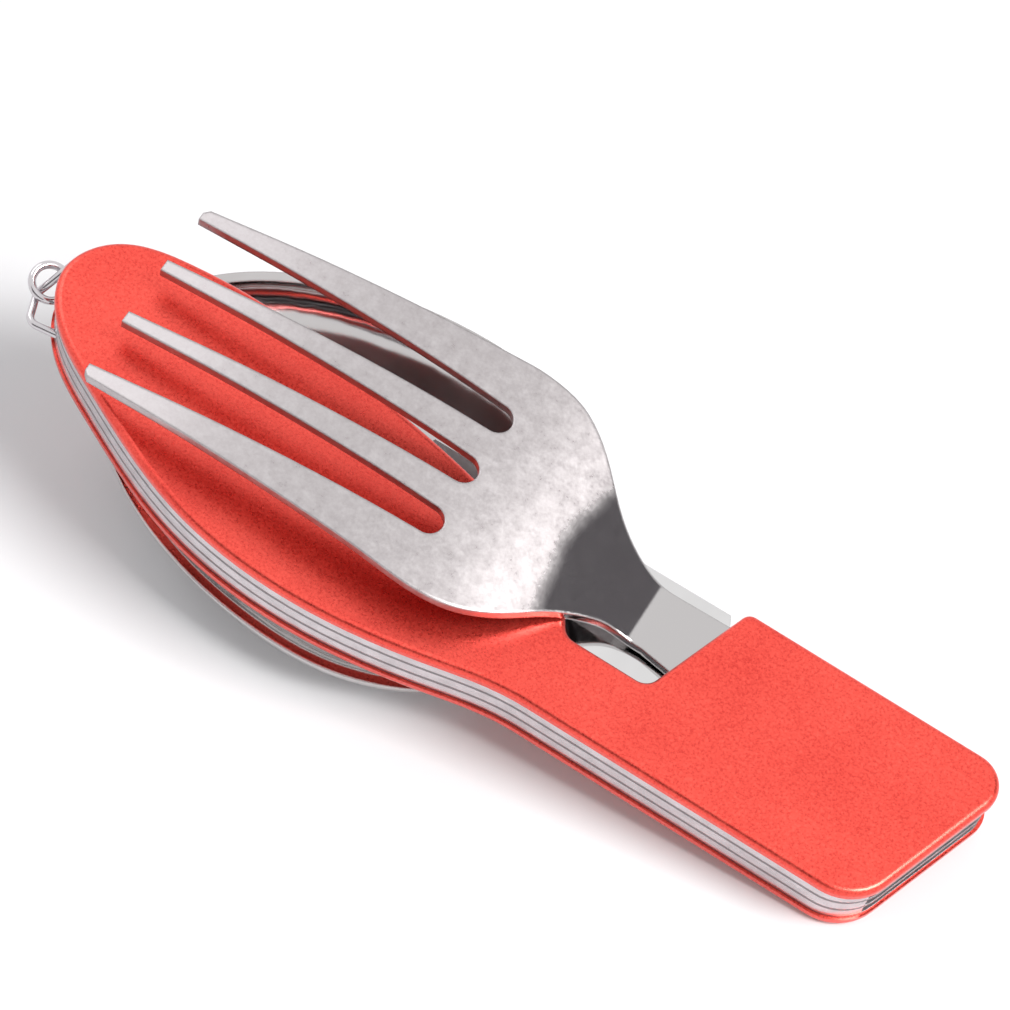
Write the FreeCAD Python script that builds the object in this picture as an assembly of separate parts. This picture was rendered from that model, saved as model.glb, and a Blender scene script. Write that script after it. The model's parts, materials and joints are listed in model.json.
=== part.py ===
import FreeCAD, Part
import math
import os

from FreeCAD import Placement, Rotation, Vector

os.makedirs("parts", exist_ok=True)

# Folding picnic cutlery: fork, knife and spoon that fold into one slip-joint handle.
#
# Every piece is drawn in the handle's frame, in millimetres: X runs along the handle
# towards the square block with the pivot, Y runs across it towards the open notch, and
# Z = 0 is the outer face of the bottom cover. At the end the closed set is tipped so
# that it lies on the spoon's bowl and the end of the block, with its lowest point at 0.

# ---------------------------------------------------------------- driving dimensions
# the stack, from the outside to the middle
cover_t = 1.3            # anodised aluminium cover
plate_t = 0.3            # steel plate glued under each cover
liner_t = 0.4            # steel liner between two tools
tool_t = 1.2             # sheet of fork, spoon and knife
washer_t = 0.1           # pivot washer, one on each side of a tool

# the handle's outline
block_right = 59.7       # where the end of the block would meet the middle of the handle
block_top = 4.5          # the notch side of the block
block_bottom = -18.3     # the spring side of the block
block_slant = 18.5       # degrees that the block's end and the notch's end lean
block_fillet_top = 3.6
block_fillet_bottom = 6.0
notch_right = 26.2       # the notch's slanted end, at y = 0
notch_floor = -9.2
notch_left = 12.1
notch_fillet = 1.8
lobe_tip = -53.6
lobe_far = 5.7           # widest point of the lobe, on the notch side
lobe_near = -22.1        # widest point of the lobe, on the spring side
cover_round = 0.75       # rounded outer edge of a cover
steel_inset = 0.3        # plates and springs stand this far inside the covers' outline

# the pivot and the rivets
pivot_x = 41.0
pivot_y = -4.6
pivot_r = 2.0
pivot_clear = 0.05       # running clearance of a tool on the pin
root_r = 7.5             # round root of each tool about the pivot
spring_gap = 0.3         # between a tool's root and the springs
rivet_r = 1.25
rivet_fit = 0.02
head_h = 0.5
head_over = 1.2          # a rivet head is this much larger than its shank, in radius
head_clear = 0.1
washer_rim = 5.0

# springs
spring_width = 5.2       # along the lobe
spring_tip = -43.5       # the springs' solid part reaches from the lobe's tip to here
spring_end = 54.0        # free end, near the corner of the block

# fork and spoon
tool_offset = 3.7        # a tool's centre line lies this far from the pivot
neck_half = 3.75
neck_start = 20.7        # flat tang out to here, past the corners of the block
fork_rest = 1.3          # degrees that the folded fork is turned about the pivot
fork_reach = 84.9        # pivot to tips
fork_half = 14.9         # half of the head's width
fork_tips_half = 12.3
slot_reach = 44.2        # pivot to the closed end of the slots
slot_pitch = 7.2
slot_width = 3.5
tine_tip_width = 1.3
tip_pitch = 7.7
spoon_rest = -0.4
bowl_half = 22.5
bowl_wide = 53.5         # pivot to the bowl's widest place
bowl_front = 34.8        # from there to the bowl's tip
bowl_back = 25.5         # and to its neck
bowl_depth = 8.4
bowl_drop = 2.0          # the rim lies this far below the bottom cover

# knife
knife_reach = 77.0
knife_spine = 9.4        # exposed spine, from the pivot's centre line
knife_spine_in = 5.0     # spine inside the lobe
knife_step = 51.8        # pivot to the end of the exposed spine
knife_heel = 15.0        # the spine rises this far from the pivot
knife_edge = -5.0
knife_bevel = 4.0
knife_keen = 0.3

# wire at the handle's tip
wire_r = 0.45
wire_fit = 0.05          # between the wire and the sides of its channel
ring_r = 2.0             # centre line of the ring
ring_room = 1.1          # free space round the ring in the steel layers
tip_rivet_x = -47.2
tip_rivet_y = -4.5
mid_rivet_x = 2.0
mid_rivet_y = -17.2

# the closed set at rest: lean of the handle about an axis across it, then along it
rest_pitch = 8.37
rest_roll = 7.33

# ---------------------------------------------------------------- derived heights
layer_t = tool_t + 2 * washer_t
z_bottom_plate = cover_t
z_spoon = z_bottom_plate + plate_t
z_liner_low = z_spoon + layer_t
z_knife = z_liner_low + liner_t
z_liner_up = z_knife + layer_t
z_fork = z_liner_up + liner_t
z_top_plate = z_fork + layer_t
z_top_cover = z_top_plate + plate_t
stack = z_top_cover + cover_t


# ---------------------------------------------------------------- helpers
def spline(points, start=None, end=None):
    """A smooth edge through the points, with optional end directions."""
    curve = Part.BSplineCurve()
    ends = {}
    if start is not None:
        ends = {"InitialTangent": Vector(*start), "FinalTangent": Vector(*end)}
    curve.interpolate(Points=[Vector(*p) for p in points], **ends)
    return curve.toShape()


def line(a, b):
    return Part.LineSegment(Vector(*a), Vector(*b)).toShape()


def corner(before, at, after, radius):
    """The arc that rounds a corner, with the points where it starts and ends."""
    p = Vector(*at)
    u = (Vector(*before) - p).normalize()
    w = (Vector(*after) - p).normalize()
    half = u.getAngle(w) / 2
    run = radius / math.tan(half)
    start = p + u * run
    end = p + w * run
    middle = (u + w).normalize()
    top = p + middle * (radius / math.sin(half) - radius)
    return Part.Arc(start, top, end).toShape(), start, end


def rounded(points, radii):
    """Edges along the points, with each inner corner rounded."""
    edges = []
    last = Vector(*points[0])
    for i in range(1, len(points) - 1):
        arc, start, end = corner(points[i - 1], points[i], points[i + 1], radii[i - 1])
        edges.append(Part.LineSegment(last, start).toShape())
        edges.append(arc)
        last = end
    edges.append(Part.LineSegment(last, Vector(*points[-1])).toShape())
    return edges


def prism(edges, z, height):
    wire = Part.Wire(Part.__sortEdges__(edges))
    face = Part.Face(wire)
    face.translate(Vector(0, 0, z))
    return face.extrude(Vector(0, 0, height))


def disc(x, y, radius, z, height):
    return Part.makeCylinder(radius, height, Vector(x, y, z))


# ---------------------------------------------------------------- the handle's outline
def outline_edges(inset):
    """The handle seen from above, drawn inset inside the covers' outline."""
    lean = math.tan(math.radians(block_slant))
    side = inset / math.cos(math.radians(block_slant))
    top = block_top - inset
    low = block_bottom + inset
    right = block_right - side
    left = notch_right + side
    floor = notch_floor - inset
    start = (notch_left - 1.3 * inset, notch_floor + 1.75, 0)
    stop = (14.0, low, 0)
    block = [
        start,
        (notch_left + 1.1 - inset, floor, 0),
        (left + floor * lean, floor, 0),
        (left + top * lean, top, 0),
        (right + top * lean, top, 0),
        (right + low * lean, low, 0),
        stop,
    ]
    fillets = [notch_fillet, notch_fillet, 1.2, block_fillet_top, block_fillet_bottom]
    lobe = [
        stop,
        (3.0, low - 1.75, 0),
        (-10.0, lobe_near + inset, 0),
        (-29.2, -20.1 + inset, 0),
        (-43.6, -13.6 + 0.9 * inset, 0),
        (-51.6 + 0.9 * inset, -7.9 + 0.5 * inset, 0),
        (lobe_tip + inset, -3.0, 0),
        (-51.2 + 0.7 * inset, 2.2 - 0.7 * inset, 0),
        (-42.5, 5.3 - inset, 0),
        (-33.0, lobe_far - inset, 0),
        (-19.6, 3.9 - inset, 0),
        (-3.5, 0.8 - inset, 0),
        start,
    ]
    return rounded(block, fillets) + [spline(lobe, (-1, 0, 0), (1.1 - inset, floor - start[1], 0))]


def holes(z, height, extra):
    """The pivot's and the rivets' holes through a plate."""
    cut = disc(pivot_x, pivot_y, pivot_r + extra, z, height)
    cut = cut.fuse(disc(tip_rivet_x, tip_rivet_y, rivet_r + extra, z, height))
    return cut.fuse(disc(mid_rivet_x, mid_rivet_y, rivet_r + extra, z, height))


def plate(z, height):
    return prism(outline_edges(steel_inset), z, height).cut(holes(z - 1, height + 2, rivet_fit))


def cover(z, outer_up):
    """A cover with a rounded outer rim and pockets under it for the rivet heads."""
    body = prism(outline_edges(0), z, cover_t)
    rim_z = z + cover_t if outer_up else z
    rim = [e for e in body.Edges if abs(e.BoundBox.ZMin - rim_z) < 1e-4 and abs(e.BoundBox.ZMax - rim_z) < 1e-4]
    body = body.makeFillet(cover_round, rim)
    pocket = head_h + head_clear
    low = z if outer_up else z + cover_t - pocket
    return body.cut(holes(low, pocket, head_over + head_clear))


# ---------------------------------------------------------------- springs
def spring_space(z):
    """What the folded tool sweeps through in its layer: the springs lie outside it."""
    seat = pivot_y - root_r - spring_gap
    wall = [
        (spring_tip, 30, 0),
        (spring_tip, -5.5, 0),
        (spring_tip + 5.0, lobe_near + spring_width + 5.6, 0),
        (-26.0, lobe_near + spring_width + 1.9, 0),
        (-10.0, lobe_near + spring_width, 0),
        (4.0, seat - 1.4, 0),
        (17.0, seat, 0),
    ]
    edges = [
        line(wall[0], wall[1]),
        spline(wall[1:], (0, -1, 0), (1, 0, 0)),
        line(wall[-1], (spring_end, seat, 0)),
        line((spring_end, seat, 0), (spring_end, -40, 0)),
        line((spring_end, -40, 0), (90, -40, 0)),
        line((90, -40, 0), (90, 30, 0)),
        line((90, 30, 0), wall[0]),
    ]
    return prism(edges, z - 1, layer_t + 2)


def spring(z):
    """A back spring: one strip along the handle's edge, wrapped round the lobe's tip."""
    return plate(z, layer_t).cut(spring_space(z))


# ---------------------------------------------------------------- pins, rivets, washers
def rivet(x, y, radius):
    """A shank from plate to plate, with a flat head at each end in the cover's pocket."""
    shank = disc(x, y, radius, z_bottom_plate, z_top_cover - z_bottom_plate)
    low = disc(x, y, radius + head_over, z_bottom_plate - head_h, head_h)
    top = disc(x, y, radius + head_over, z_top_cover, head_h)
    return shank.fuse([low, top]).removeSplitter()


def washers(z):
    """The two washers of one tool, under and over its root."""
    hole = pivot_r + rivet_fit
    pair = []
    for height in (z, z + layer_t - washer_t):
        ring = disc(pivot_x, pivot_y, washer_rim, height, washer_t)
        pair.append(ring.cut(disc(pivot_x, pivot_y, hole, height - 1, washer_t + 2)))
    return Part.Compound(pair)


# ---------------------------------------------------------------- fork and spoon
# A tool is drawn about the pivot at (0, 0), folded towards -X and lying flat; its side
# view then bends the sheet, and it is turned and moved to its place in the handle.

def ribbon(middle, half_t, width):
    """A sheet, drawn out along Y: a flat tang, then the bend that the side view shows."""
    count = 60
    first, last = middle.FirstParameter, middle.LastParameter
    over = []
    under = []
    for i in range(count + 1):
        t = first + (last - first) * i / count
        point = middle.value(t)
        along = Vector(*middle.tangent(t)[0])
        normal = Vector(-along.z, 0, along.x).normalize() * half_t
        over.append(point - normal)
        under.append(point + normal)
    tang = Vector(neck_start + root_r + 2, 0, 0)
    edges = [line(over[0], over[0] + tang), line(over[0] + tang, under[0] + tang)]
    edges.append(line(under[0] + tang, under[0]))
    edges.append(line(over[-1], under[-1]))
    for side in (over, under):
        edge = Part.BSplineCurve()
        end = (side[-1] - side[-2]).normalize()
        edge.interpolate(Points=side, InitialTangent=Vector(-1, 0, 0), FinalTangent=end)
        edges.append(edge.toShape())
    face = Part.Face(Part.Wire(Part.__sortEdges__(edges)))
    face.translate(Vector(0, -width / 2, 0))
    return face.extrude(Vector(0, width, 0))


def side_view(points):
    """The bent sheet's middle line as a smooth curve that leaves the tang flat."""
    curve = Part.BSplineCurve()
    last = Vector(*points[-1]) - Vector(*points[-2])
    curve.interpolate(Points=[Vector(*p) for p in points], InitialTangent=Vector(-1, 0, 0),
                      FinalTangent=last.normalize())
    return curve


def tang_edges():
    """The root about the pivot and the flat tang, out to the neck; the last point is open."""
    high = tool_offset + neck_half
    low = tool_offset - neck_half
    touch = math.radians(205)
    foot = Vector(root_r * math.cos(touch), root_r * math.sin(touch), 0)
    over = Vector(0, root_r, 0)
    arc = Part.Arc(over, Vector(root_r, 0, 0), Vector(0, -root_r, 0)).toShape()
    arc_low = Part.Arc(Vector(0, -root_r, 0),
                       Vector(root_r * math.cos(math.radians(237)), root_r * math.sin(math.radians(237)), 0),
                       foot).toShape()
    return [
        line((-neck_start, high, 0), over),
        arc,
        arc_low,
        line(foot, (-neck_start + 3.4, low - 0.6, 0)),
        line((-neck_start + 3.4, low - 0.6, 0), (-neck_start, low, 0)),
    ]


def mirror_half(points):
    """The same points on the other side of the tool's centre line, in reverse order."""
    return [(x, 2 * tool_offset - y, 0) for x, y, z in reversed(points)]


def fork_plan():
    c = tool_offset
    side = [
        (-neck_start, c + neck_half, 0),
        (-26.3, c + 4.7, 0),
        (-30.0, c + 7.1, 0),
        (-33.8, c + 10.7, 0),
        (-36.8, c + 13.0, 0),
        (-40.0, c + 14.4, 0),
        (-45.0, c + fork_half, 0),
        (-51.0, c + fork_half - 0.45, 0),
    ]
    tip = (-fork_reach + 0.6, c + fork_tips_half, 0)
    near = mirror_half(side)
    lean = (tip[0] - side[-1][0], tip[1] - side[-1][1], 0)
    back = (side[-1][0] - tip[0], tip[1] - side[-1][1], 0)
    edges = tang_edges()
    edges.append(spline(side, (-1, 0, 0), lean))
    edges.append(line(side[-1], tip))
    edges.append(line(tip, (-fork_reach, c + fork_tips_half - 0.6, 0)))
    edges.append(line((-fork_reach, c + fork_tips_half - 0.6, 0), (-fork_reach, c - fork_tips_half + 0.6, 0)))
    edges.append(line((-fork_reach, c - fork_tips_half + 0.6, 0), (tip[0], 2 * c - tip[1], 0)))
    edges.append(line((tip[0], 2 * c - tip[1], 0), near[0]))
    edges.append(spline(near, back, (1, 0, 0)))
    return edges


def slot(number):
    """One gap between two tines: round at the closed end, wider towards the tips."""
    root = tool_offset + number * slot_pitch
    tip = tool_offset + number * tip_pitch
    half = slot_width / 2
    far_half = (tip_pitch - tine_tip_width) / 2
    x = -slot_reach - half
    end = -fork_reach - 2
    a = (x, root + half, 0)
    b = (x, root - half, 0)
    far_a = (end, tip + far_half, 0)
    far_b = (end, tip - far_half, 0)
    round_end = Part.Arc(Vector(*a), Vector(-slot_reach, root, 0), Vector(*b)).toShape()
    return prism([round_end, line(b, far_b), line(far_b, far_a), line(far_a, a)], -50, 100)


def settle(shape, turn):
    """Turn a folded tool about the pivot and move it to its place in the handle."""
    shape.rotate(Vector(0, 0, 0), Vector(0, 0, 1), turn)
    shape.translate(Vector(pivot_x, pivot_y, 0))
    return shape


def pin_hole():
    return disc(0, 0, pivot_r + pivot_clear, -50, 100)


tang_z = z_fork + washer_t + tool_t / 2
fork_side = side_view([
    (-neck_start, 0, tang_z),
    (-26.0, 0, tang_z + 1.9),
    (-30.0, 0, tang_z + 3.6),
    (-36.5, 0, tang_z + 5.9),
    (-46.0, 0, tang_z + 7.5),
    (-58.0, 0, tang_z + 8.0),
    (-72.0, 0, tang_z + 7.3),
    (-fork_reach - 3, 0, tang_z + 5.3),
])


def make_fork():
    plan = prism(fork_plan(), -50, 100)
    for number in (-1, 0, 1):
        plan = plan.cut(slot(number))
    sheet = ribbon(fork_side, tool_t / 2, 60)
    return settle(sheet.common(plan).cut(pin_hole()), fork_rest)


def egg(scale, back, z):
    """The bowl's outline: half an ellipse towards the tip, a shorter half to the neck."""
    points = []
    count = 36
    for i in range(count):
        angle = 2 * math.pi * i / count
        run = bowl_front if math.cos(angle) < 0 else bowl_back
        x = -bowl_wide + (run - back) * scale * math.cos(angle)
        y = tool_offset + (bowl_half - back) * scale * math.sin(angle)
        points.append(Vector(x, y, z))
    curve = Part.BSplineCurve()
    curve.interpolate(Points=points, PeriodicFlag=True)
    return Part.Wire(curve.toShape())


def bowl_solid(back, rim, depth, above):
    """A bowl-shaped solid that hangs from its rim; back draws it inside the outline."""
    sections = []
    if above > 0:
        sections.append(egg(1.0, back, rim + above))
    for step in range(9):
        angle = math.radians(step * 10.6)
        sections.append(egg(math.cos(angle), back, rim - depth * math.sin(angle)))
    return Part.makeLoft(sections, True, False)


spoon_z = z_spoon + layer_t / 2
spoon_side = side_view([
    (-neck_start, 0, spoon_z),
    (-26.0, 0, spoon_z - 2.1),
    (-30.0, 0, spoon_z - 3.8),
    (-34.0, 0, spoon_z - 5.2),
    (-38.0, 0, spoon_z - 6.6),
])


def spoon_neck_plan():
    c = tool_offset
    side = [
        (-neck_start, c + neck_half, 0),
        (-25.5, c + neck_half + 0.35, 0),
        (-30.0, c + neck_half + 3.2, 0),
        (-36.0, c + neck_half + 7.5, 0),
    ]
    near = mirror_half(side)
    edges = tang_edges()
    edges.append(spline(side, (-1, 0, 0), (-1, 0.6, 0)))
    edges.append(line(side[-1], near[0]))
    edges.append(spline(near, (1, 0.6, 0), (1, 0, 0)))
    return edges


def make_spoon():
    neck = ribbon(spoon_side, tool_t / 2, 60).common(prism(spoon_neck_plan(), -50, 100))
    outside = bowl_solid(0, -bowl_drop, bowl_depth, 0)
    inside = bowl_solid(tool_t, -bowl_drop, bowl_depth - tool_t, 4)
    shape = neck.fuse(outside).cut(inside).cut(pin_hole())
    return settle(shape, spoon_rest)


# ---------------------------------------------------------------- knife
def knife_plan():
    inner_spine = root_r - 0.1
    edges = [
        line((0, root_r, 0), (-1.0, inner_spine, 0)),
        line((-1.0, inner_spine, 0), (-knife_heel + 1.0, inner_spine, 0)),
        line((-knife_heel + 1.0, inner_spine, 0), (-knife_heel, knife_spine, 0)),
        line((-knife_heel, knife_spine, 0), (-knife_step, knife_spine - 0.5, 0)),
        line((-knife_step, knife_spine - 0.5, 0), (-knife_step - 1.6, knife_spine_in, 0)),
        spline([
            (-knife_step - 1.6, knife_spine_in, 0),
            (-knife_reach + 10, knife_spine_in - 0.5, 0),
            (-knife_reach, knife_spine_in - 2.6, 0),
        ], (-1, 0, 0), (-1, -0.5, 0)),
        spline([
            (-knife_reach, knife_spine_in - 2.6, 0),
            (-knife_reach + 3.0, -1.6, 0),
            (-knife_reach + 10, knife_edge + 0.9, 0),
            (-knife_reach + 19, knife_edge, 0),
        ], (0.4, -1, 0), (1, 0, 0)),
        line((-knife_reach + 19, knife_edge, 0), (-16.5, knife_edge, 0)),
        line((-16.5, knife_edge, 0), (-14.5, -1.9, 0)),
        line((-14.5, -1.9, 0), (root_r * math.cos(math.radians(205)), root_r * math.sin(math.radians(205)), 0)),
        Part.Arc(Vector(root_r * math.cos(math.radians(205)), root_r * math.sin(math.radians(205)), 0),
                 Vector(root_r * math.cos(math.radians(237)), root_r * math.sin(math.radians(237)), 0),
                 Vector(0, -root_r, 0)).toShape(),
        Part.Arc(Vector(0, -root_r, 0), Vector(root_r, 0, 0), Vector(0, root_r, 0)).toShape(),
    ]
    return edges


def make_knife():
    """The blade, ground to its edge from both faces."""
    low = z_knife + washer_t
    blade = prism(knife_plan(), low, tool_t)
    middle = low + tool_t / 2
    keen = knife_keen / 2
    for side in (1, -1):
        grind = Part.makePolygon([
            Vector(-200, knife_edge + knife_bevel, middle + side * tool_t / 2),
            Vector(-200, knife_edge, middle + side * keen),
            Vector(-200, knife_edge - 5, middle + side * keen),
            Vector(-200, knife_edge - 5, middle + side * 5),
            Vector(-200, knife_edge + knife_bevel, middle + side * 5),
            Vector(-200, knife_edge + knife_bevel, middle + side * tool_t / 2),
        ])
        blade = blade.cut(Part.Face(grind).extrude(Vector(200 - 16.0, 0, 0)))
    blade = blade.cut(pin_hole())
    return settle(blade, 0)


# ---------------------------------------------------------------- wire at the tip
def wire_along(path, at, along):
    """Round wire swept along a path that starts at a point in a direction."""
    circle = Part.Circle(Vector(*at), Vector(*along), wire_r).toShape()
    return Part.Wire(path).makePipeShell([Part.Wire(circle)], True, False)


bail_top_z = z_fork + layer_t / 2
bail_low_z = z_spoon + layer_t / 2
leg_start = Vector(-53.4, -0.6, bail_top_z)
leg_along = Vector(-2.0, -3.7, -3.2).normalize()
leg_end = leg_start + leg_along * ((bail_low_z - bail_top_z) / leg_along.z)
foot_x = tip_rivet_x + 0.9
bail_points = [
    (foot_x + 0.4, tip_rivet_y + 5.1, bail_top_z),
    (foot_x, tip_rivet_y + 2.6, bail_top_z),
    tuple(leg_start),
    tuple(leg_end),
    (-54.4, -8.2, bail_low_z),
    (foot_x, tip_rivet_y - 2.6, bail_low_z),
    (foot_x + 0.4, tip_rivet_y - 5.1, bail_low_z),
]
bail_bends = [0.8, 0.9, 1.1, 1.2, 0.8]
ring_center = leg_start + leg_along * 4.0
ring_normal = Vector(0.259, -0.140, 0.955)


def make_bail():
    """A bent wire staple: its feet lie in the outer layers, and its loop stands out."""
    along = Vector(*bail_points[1]) - Vector(*bail_points[0])
    return wire_along(rounded(bail_points, bail_bends), bail_points[0], along)


def make_ring():
    """A round wire ring, threaded on the bail's straight leg."""
    return Part.makeTorus(ring_r, wire_r, ring_center, ring_normal)


def wire_channel(points, z):
    """The channel through a spring that holds one foot of the bail, open at the last point."""
    half = wire_r + wire_fit
    cut = []
    for near, far, beyond in zip(points, points[1:], (half, 4)):
        a = Vector(near[0], near[1], z)
        b = Vector(far[0], far[1], z)
        along = (b - a).normalize()
        side = Vector(-along.y, along.x, 0) * half
        a = a - along * half
        b = b + along * beyond
        corners = [a + side, b + side, b - side, a - side, a + side]
        cut.append(Part.Face(Part.makePolygon(corners)).extrude(Vector(0, 0, layer_t)))
    return cut


def tip_space():
    """Room for the ring between the covers, at the very tip of the steel layers."""
    reach = ring_r + wire_r + ring_room
    return disc(ring_center.x - 0.9, ring_center.y, reach, z_bottom_plate, stack - 2 * cover_t)


# ---------------------------------------------------------------- the closed set
solids = {
    "top_cover": cover(z_top_cover, True),
    "bottom_cover": cover(0, False),
    "top_plate": plate(z_top_plate, plate_t).cut(tip_space()),
    "bottom_plate": plate(z_bottom_plate, plate_t).cut(tip_space()),
    "liner_upper": plate(z_liner_up, liner_t).cut(tip_space()),
    "liner_lower": plate(z_liner_low, liner_t).cut(tip_space()),
    "fork_spring": spring(z_fork).cut([tip_space()] + wire_channel(bail_points[:3], z_fork)),
    "knife_spring": spring(z_knife).cut(tip_space()),
    "spoon_spring": spring(z_spoon).cut([tip_space()] + wire_channel(bail_points[:-4:-1], z_spoon)),
    "pivot_pin": rivet(pivot_x, pivot_y, pivot_r),
    "mid_rivet": rivet(mid_rivet_x, mid_rivet_y, rivet_r),
    "tip_rivet": rivet(tip_rivet_x, tip_rivet_y, rivet_r),
    "fork_washers": washers(z_fork),
    "knife_washers": washers(z_knife),
    "spoon_washers": washers(z_spoon),
    "fork": make_fork(),
    "spoon": make_spoon(),
    "knife_blade": make_knife(),
    "tip_bail": make_bail(),
    "jump_ring": make_ring(),
}

# The resting attitude: the handle's own +Z leans by these two angles, and the part's
# origin is the middle of its box, on the surface that it lies on.
lean = Rotation(Vector(1, 0, 0), rest_roll).multiply(Rotation(Vector(0, 1, 0), rest_pitch))
rest = Placement(Vector(0, 0, 0), lean)
for shape in solids.values():
    shape.Placement = rest.multiply(shape.Placement)
box = Part.Compound(list(solids.values())).optimalBoundingBox(False, False)
rest.Base = Vector(-(box.XMin + box.XMax) / 2, -(box.YMin + box.YMax) / 2, -box.ZMin)

for name, shape in solids.items():
    shape.translate(rest.Base)
    shape.exportStep("parts/" + name + ".step")
    print(name, shape.isValid(), len(shape.Solids), round(shape.Volume, 2))

print("box", box.XLength, box.YLength, box.ZLength)
print("pivot", rest.multVec(Vector(pivot_x, pivot_y, stack / 2)), "axis", rest.Rotation.multVec(Vector(0, 0, -1)))
print("ring", rest.multVec(ring_center), "axis", rest.Rotation.multVec(leg_along))
print("handle origin", rest.Base)
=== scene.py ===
import json
import math

import bpy
from mathutils import Matrix, Vector


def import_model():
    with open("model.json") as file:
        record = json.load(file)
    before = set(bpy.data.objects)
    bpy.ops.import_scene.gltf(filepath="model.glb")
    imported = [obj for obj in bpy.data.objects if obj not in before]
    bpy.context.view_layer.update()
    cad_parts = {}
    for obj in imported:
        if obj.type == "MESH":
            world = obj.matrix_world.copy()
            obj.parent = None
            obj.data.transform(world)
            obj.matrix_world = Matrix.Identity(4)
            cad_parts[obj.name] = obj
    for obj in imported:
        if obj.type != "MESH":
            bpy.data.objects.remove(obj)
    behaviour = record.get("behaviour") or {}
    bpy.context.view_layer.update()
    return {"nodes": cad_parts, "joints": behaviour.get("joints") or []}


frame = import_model()

# Folding picnic cutlery, closed: fork on top, spoon below and knife between them.
# Lamps, dark cards and the camera are given in the handle's own millimetres (X along the handle towards
# the block, Y across it towards the notch, Z out of the top cover), then placed by the pivot.

MM = 0.001

# ---------------------------------------------------------------- the handle's place
PIVOT = (41.0, -4.6, 4.1)        # the pivot's middle, in the handle's own millimetres
STACK = 8.2                      # the handle's thickness
fork_joint = next(j for j in frame["joints"] if j["name"] == "fork_pivot")
out = -Vector(fork_joint["axis"]).normalized()
pitch = math.asin(out.x)
roll = math.atan2(-out.y, out.z)
TURN = Matrix.Rotation(roll, 3, "X") @ Matrix.Rotation(pitch, 3, "Y")
BASE = Vector(fork_joint["pos_m"]) - TURN @ (Vector(PIVOT) * MM)


def place(x, y, z):
    """A point in the handle's millimetres, as a point in the scene's metres."""
    return TURN @ (Vector((x, y, z)) * MM) + BASE


# ---------------------------------------------------------------- node helpers
class Nodes:
    """Short names for building one material's node tree."""

    def __init__(self, name):
        self.material = bpy.data.materials.new(name)
        self.material.use_nodes = True
        self.tree = self.material.node_tree
        self.shader = self.tree.nodes["Principled BSDF"]

    def add(self, kind, **values):
        node = self.tree.nodes.new(kind)
        for key, value in values.items():
            setattr(node, key, value)
        return node

    def link(self, a, b):
        self.tree.links.new(a, b)

    def noise(self, scale, detail=2.0, rough=0.5, where=None):
        node = self.add("ShaderNodeTexNoise")
        node.inputs["Scale"].default_value = scale
        node.inputs["Detail"].default_value = detail
        node.inputs["Roughness"].default_value = rough
        self.link(where or self.coordinates(), node.inputs["Vector"])
        return node.outputs["Fac"]

    def coordinates(self):
        return self.add("ShaderNodeTexCoord").outputs["Object"]

    def turned(self, stretch=(1, 1, 1)):
        """Coordinates along the handle's own axes, stretched along each of them."""
        mapping = self.add("ShaderNodeMapping")
        mapping.vector_type = "TEXTURE"
        mapping.inputs["Location"].default_value = BASE
        mapping.inputs["Rotation"].default_value = TURN.to_euler()
        self.link(self.coordinates(), mapping.inputs["Vector"])
        scale = self.add("ShaderNodeVectorMath", operation="MULTIPLY")
        scale.inputs[1].default_value = stretch
        self.link(mapping.outputs["Vector"], scale.inputs[0])
        return scale.outputs[0]

    def ramp(self, value, low, high, a, b):
        """Maps value from low..high to a..b, clamped."""
        node = self.add("ShaderNodeMapRange")
        node.inputs["From Min"].default_value = low
        node.inputs["From Max"].default_value = high
        node.inputs["To Min"].default_value = a
        node.inputs["To Max"].default_value = b
        self.link(value, node.inputs["Value"])
        return node.outputs["Result"]

    def math(self, operation, a, b):
        node = self.add("ShaderNodeMath", operation=operation)
        for socket, value in zip(node.inputs, (a, b)):
            if isinstance(value, (int, float)):
                socket.default_value = value
            else:
                self.link(value, socket)
        return node.outputs[0]

    def mix(self, factor, a, b):
        node = self.add("ShaderNodeMix", data_type="RGBA")
        self.link(factor, node.inputs["Factor"])
        for socket, value in ((node.inputs["A"], a), (node.inputs["B"], b)):
            if isinstance(value, tuple):
                socket.default_value = value
            else:
                self.link(value, socket)
        return node.outputs["Result"]

    def bump(self, height, distance, strength=1.0, after=None):
        node = self.add("ShaderNodeBump")
        node.inputs["Strength"].default_value = strength
        node.inputs["Distance"].default_value = distance
        self.link(height, node.inputs["Height"])
        if after is not None:
            self.link(after, node.inputs["Normal"])
        return node.outputs["Normal"]

    def soft_edge(self, radius):
        """Rounds the look of a sheet's edges."""
        node = self.add("ShaderNodeBevel", samples=6)
        node.inputs["Radius"].default_value = radius
        return node.outputs["Normal"]

    def set(self, socket, value):
        target = self.shader.inputs[socket]
        if isinstance(value, (int, float, tuple)):
            target.default_value = value
        else:
            self.link(value, target)


# ---------------------------------------------------------------- finishes
NECK_FROM = 0.0078               # the polished neck starts here along the handle, in metres
NECK_ARCH = 16.0                 # and further on by this times the distance off the middle, squared
FORK_MIDDLE = -0.0009            # the fork's centre line across the handle


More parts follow.
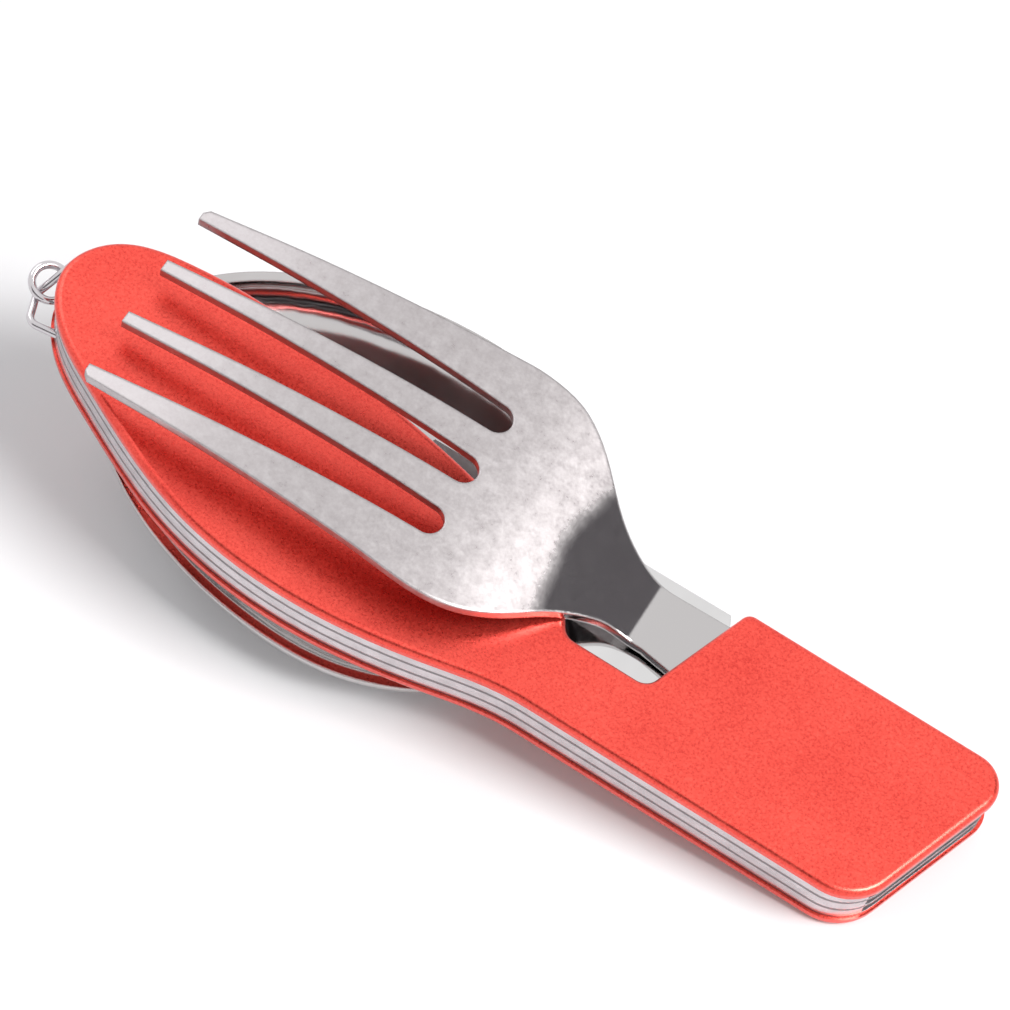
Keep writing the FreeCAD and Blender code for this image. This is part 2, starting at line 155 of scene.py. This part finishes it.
def anodised_red():
    """Bead-blasted aluminium, dyed and anodised: a fine grain under a thin clear layer."""
    n = Nodes("anodised_red")
    grain = n.noise(3200, 4.0, 0.7)
    fine = n.noise(9000, 2.0, 0.6)
    cloud = n.noise(90, 2.0, 0.5)
    tone = n.math("ADD", n.math("MULTIPLY", grain, 0.75), n.math("MULTIPLY", cloud, 0.25))
    color = n.mix(n.ramp(tone, 0.32, 0.68, 0.0, 1.0), (0.66, 0.036, 0.026, 1), (1.0, 0.115, 0.082, 1))
    n.set("Base Color", color)
    n.set("Metallic", 0.9)
    n.set("Roughness", n.ramp(grain, 0.3, 0.7, 0.25, 0.34))
    n.set("Coat Weight", 0.35)
    n.set("Coat Roughness", 0.26)
    n.set("Normal", n.bump(fine, 0.000010, 0.5, n.bump(grain, 0.00003, 0.6)))
    return n.material


def satin_steel():
    """Tumbled stainless sheet: a soft grey with a fine grain, brighter polish on the neck."""
    n = Nodes("satin_steel")
    where = n.turned()
    grain = n.noise(2600, 4.0, 0.65, where)
    mottle = n.noise(700, 4.0, 0.6, where)
    cloud = n.noise(110, 2.0, 0.5, where)
    scratch = n.noise(1100, 3.0, 0.7, n.turned((0.10, 2.2, 1.0)))
    both = n.math("ADD", n.math("MULTIPLY", mottle, 0.5), n.math("MULTIPLY", grain, 0.5))
    dull = (0.44, 0.405, 0.41, 1)
    plain = (0.53, 0.50, 0.505, 1)
    satin = n.mix(n.ramp(both, 0.34, 0.66, 0.0, 1.0), dull, plain)
    apart = n.add("ShaderNodeSeparateXYZ")
    n.link(where, apart.inputs[0])
    across = n.math("SUBTRACT", apart.outputs["Y"], FORK_MIDDLE)
    arch = n.math("MULTIPLY", n.math("MULTIPLY", across, across), -NECK_ARCH)
    wander = n.math("MULTIPLY", cloud, 0.002)
    along = n.math("ADD", n.math("ADD", apart.outputs["X"], arch), wander)
    neck = n.ramp(along, NECK_FROM, NECK_FROM + 0.0022, 0.0, 1.0)
    n.set("Base Color", n.mix(neck, satin, (0.56, 0.54, 0.54, 1)))
    n.set("Metallic", 1.0)
    rough_head = n.ramp(both, 0.35, 0.65, 0.27, 0.37)
    n.set("Roughness", n.math("MULTIPLY", rough_head, n.ramp(neck, 0.0, 1.0, 1.0, 0.30)))
    worn = n.bump(scratch, 0.000004, 0.3, n.soft_edge(0.00042))
    n.set("Normal", n.bump(grain, 0.000010, 0.35, worn))
    return n.material


def mirror_steel(name, color, rough, edge=0.0004):
    """Polished stainless: nearly a mirror, with faint smears and hairlines."""
    n = Nodes(name)
    smear = n.noise(130, 3.0, 0.5)
    hair = n.noise(1400, 2.0, 0.6, n.turned((0.08, 1.6, 1.0)))
    low = tuple(0.93 * c for c in color[:3]) + (1,)
    n.set("Base Color", n.mix(n.ramp(smear, 0.35, 0.65, 0.0, 1.0), low, color))
    n.set("Metallic", 1.0)
    n.set("Roughness", n.ramp(smear, 0.3, 0.7, rough, rough + 0.05))
    n.set("Normal", n.bump(hair, 0.000003, 0.3, n.soft_edge(edge)))
    return n.material


def ground_edge(name, color, rough):
    """Ground stainless edge: fine lines that run along the layer."""
    n = Nodes(name)
    lines = n.noise(1500, 3.0, 0.6, n.turned((0.15, 0.15, 3.0)))
    spots = n.noise(500, 2.0, 0.5)
    low = tuple(0.85 * c for c in color[:3]) + (1,)
    n.set("Base Color", n.mix(n.ramp(spots, 0.35, 0.65, 0.0, 1.0), low, color))
    n.set("Metallic", 1.0)
    n.set("Roughness", n.ramp(lines, 0.3, 0.7, rough, rough + 0.14))
    n.set("Normal", n.bump(lines, 0.000008, 0.4, n.soft_edge(0.00012)))
    return n.material


finishes = {
    "anodised_red": anodised_red(),
    "satin_steel": satin_steel(),
    "bowl_steel": mirror_steel("bowl_steel", (0.60, 0.575, 0.575, 1), 0.06),
    "blade_steel": mirror_steel("blade_steel", (0.76, 0.75, 0.75, 1), 0.05, 0.00012),
    "wire_steel": mirror_steel("wire_steel", (0.66, 0.63, 0.65, 1), 0.12, 0.0001),
    "spring_edge": ground_edge("spring_edge", (0.66, 0.62, 0.64, 1), 0.20),
    # The plates' and liners' edges get a dark grey: painted shade for the thin shaded gaps between the
    # layers of the stack.
    "plate_edge_painted_shade": ground_edge("plate_edge_painted_shade", (0.26, 0.24, 0.25, 1), 0.30),
    "pin_steel": ground_edge("pin_steel", (0.58, 0.57, 0.57, 1), 0.25),
}
nodes_with = {
    "anodised_red": ["top_cover", "bottom_cover"],
    # Plates and liners carry the dark grey of painted shade between the brighter springs.
    "plate_edge_painted_shade": ["top_plate", "bottom_plate", "liner_upper", "liner_lower"],
    "spring_edge": ["fork_spring", "knife_spring", "spoon_spring"],
    "pin_steel": ["pivot_pin", "mid_rivet", "tip_rivet", "fork_washers", "knife_washers", "spoon_washers"],
    "satin_steel": ["fork"],
    "bowl_steel": ["spoon"],
    "blade_steel": ["knife_blade"],
    "wire_steel": ["tip_bail", "jump_ring"],
}
for finish, nodes in nodes_with.items():
    for node in nodes:
        for part_slot in frame["nodes"][node].material_slots:
            part_slot.material = finishes[finish]


# ---------------------------------------------------------------- floor, light and camera
FLOOR_HALF = 3.0                 # half of the floor's side, in metres
FLOOR_GLOW = 0.06                # lifts the floor to white where nothing shades it
STUDIO_LIGHT = 0.45              # the world's strength as a light
CAMERA_RIGHT = (0.84, 0.51, 0.1517)      # along the handle's own axes
CAMERA_BACK = (0.13, -0.47, 0.8712)
CAMERA_DISTANCE = 473.7          # millimetres from the middle of the top cover
LENS = 160.396                   # focal length on a sensor 36 mm wide
SENSOR = 36


def add_piece(name, data):
    """A new object for a mesh, lamp or camera, in the scene."""
    piece = bpy.data.objects.new(name, data)
    bpy.context.scene.collection.objects.link(piece)
    return piece


def floor():
    """A pale floor that the camera sees as white, apart from the object's shadow."""
    size = FLOOR_HALF
    mesh = bpy.data.meshes.new("floor")
    corners = [(-size, -size, 0), (size, -size, 0), (size, size, 0), (-size, size, 0)]
    mesh.from_pydata(corners, [], [(0, 1, 2, 3)])
    piece = add_piece("floor", mesh)
    n = Nodes("floor_white")
    cloud = n.noise(6, 2.0, 0.5)
    n.set("Base Color", n.mix(cloud, (0.80, 0.80, 0.82, 1), (0.82, 0.82, 0.83, 1)))
    n.set("Roughness", 0.9)
    n.set("Specular IOR Level", 0.1)
    path = n.add("ShaderNodeLightPath")
    seen = n.math("MAXIMUM", path.outputs["Is Camera Ray"], path.outputs["Is Glossy Ray"])
    n.set("Emission Color", (1.0, 0.99, 1.0, 1))
    n.link(n.math("MULTIPLY", seen, FLOOR_GLOW), n.shader.inputs["Emission Strength"])
    mesh.materials.append(n.material)


def world():
    """A plain studio: white to the camera and in reflections, softer as a light."""
    scene_world = bpy.data.worlds.new("studio")
    bpy.context.scene.world = scene_world
    scene_world.use_nodes = True
    tree = scene_world.node_tree
    background = tree.nodes["Background"]
    background.inputs["Color"].default_value = (1, 1, 1, 1)
    path = tree.nodes.new("ShaderNodeLightPath")
    seen = tree.nodes.new("ShaderNodeMath")
    seen.operation = "MAXIMUM"
    tree.links.new(path.outputs["Is Camera Ray"], seen.inputs[0])
    tree.links.new(path.outputs["Is Glossy Ray"], seen.inputs[1])
    strength = tree.nodes.new("ShaderNodeMapRange")
    strength.inputs["To Min"].default_value = STUDIO_LIGHT
    strength.inputs["To Max"].default_value = 1.0
    tree.links.new(seen.outputs[0], strength.inputs["Value"])
    tree.links.new(strength.outputs["Result"], background.inputs["Strength"])


def lamp(name, at, to, size, power, color):
    """A square area lamp that faces a point."""
    data = bpy.data.lights.new(name, "AREA")
    data.shape = "SQUARE"
    data.size = size
    data.energy = power
    data.color = color
    piece = add_piece(name, data)
    piece.location = at
    piece.rotation_euler = (Vector(to) - Vector(at)).to_track_quat("-Z", "Y").to_euler()


def dark_card(name, at, to, size):
    """A dark card out of sight: polished metal mirrors it, and it throws no shadow."""
    w = size[0] / 2
    h = size[1] / 2
    mesh = bpy.data.meshes.new(name)
    turn = (Vector(to) - Vector(at)).to_track_quat("-Z", "Y").to_matrix()
    flat = [(-w, -h, 0), (w, -h, 0), (w, h, 0), (-w, h, 0)]
    corners = [turn @ Vector(corner) + Vector(at) for corner in flat]
    mesh.from_pydata(corners, [], [(0, 1, 2, 3)])
    piece = add_piece(name, mesh)
    n = Nodes(name)
    n.set("Base Color", (0.16, 0.15, 0.16, 1))
    n.set("Roughness", 0.9)
    mesh.materials.append(n.material)
    piece.visible_camera = False
    piece.visible_diffuse = False
    piece.visible_shadow = False


def camera():
    """Looks down on the handle; its angles are given about the handle's own frame."""
    back = Vector(CAMERA_BACK).normalized()
    up = back.cross(Vector(CAMERA_RIGHT)).normalized()
    right = up.cross(back)
    data = bpy.data.cameras.new("camera")
    data.sensor_width = SENSOR
    data.lens = LENS
    data.clip_end = 20
    piece = add_piece("camera", data)
    turn = TURN @ Matrix((right, up, back)).transposed()
    spot = place(0, 0, STACK) + turn @ Vector((0, 0, CAMERA_DISTANCE * MM))
    piece.matrix_world = Matrix.Translation(spot) @ turn.to_4x4()
    bpy.context.scene.camera = piece


floor()
world()
# Places are along the handle's own axes: the key stands high beyond the block, and the
# fill beyond the lobe.
middle = place(0, 0, 0)
lamp("key", place(470, 60, 720), middle, 0.40, 8.0, (1.0, 0.99, 0.98))
lamp("fill", place(-560, 200, 520), middle, 0.50, 1.1, (0.98, 0.98, 1.0))
dark_card("dark_right", place(332, 254, 310), place(10, 0, 8), (0.34, 0.30))
dark_card("dark_front", place(-60, -400, 330), place(-10, 0, 0), (0.50, 0.30))
camera()
bpy.context.scene.view_settings.view_transform = "Standard"
